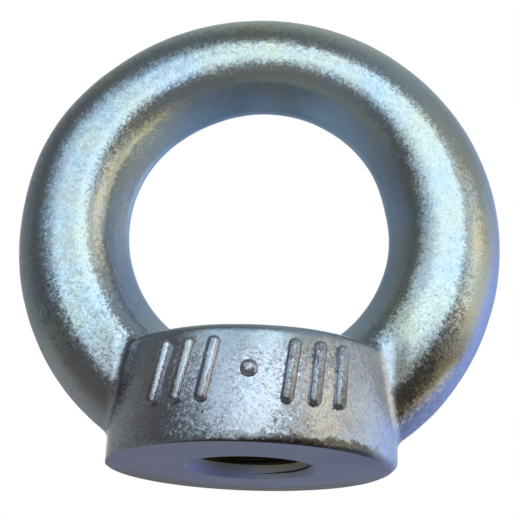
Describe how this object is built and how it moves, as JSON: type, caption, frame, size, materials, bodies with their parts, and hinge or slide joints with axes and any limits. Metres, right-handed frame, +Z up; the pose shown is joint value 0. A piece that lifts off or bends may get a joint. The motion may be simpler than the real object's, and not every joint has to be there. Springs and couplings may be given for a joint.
{
  "type": "lifting eye nut",
  "caption": "Forged lifting eye nut: a round ring on a short tapered collar, with a threaded through hole up the collar's middle.",
  "frame": {"origin": "centre of the thread at the faced base, on the surface the nut stands on", "axes": "+Z up the thread's axis and through the middle of the eye, +X along the ring's width, +Y through the eye"},
  "size_m": [0.064, 0.038, 0.0619],
  "materials": {
    "zinc_plated_steel": "Drop-forged steel, shot-blasted, zinc plated and blue passivated, with a fine grain on the skin and a turned base"
  },
  "bodies": {
    "root": {"eye_nut": "zinc_plated_steel"}
  },
  "joints": []
}
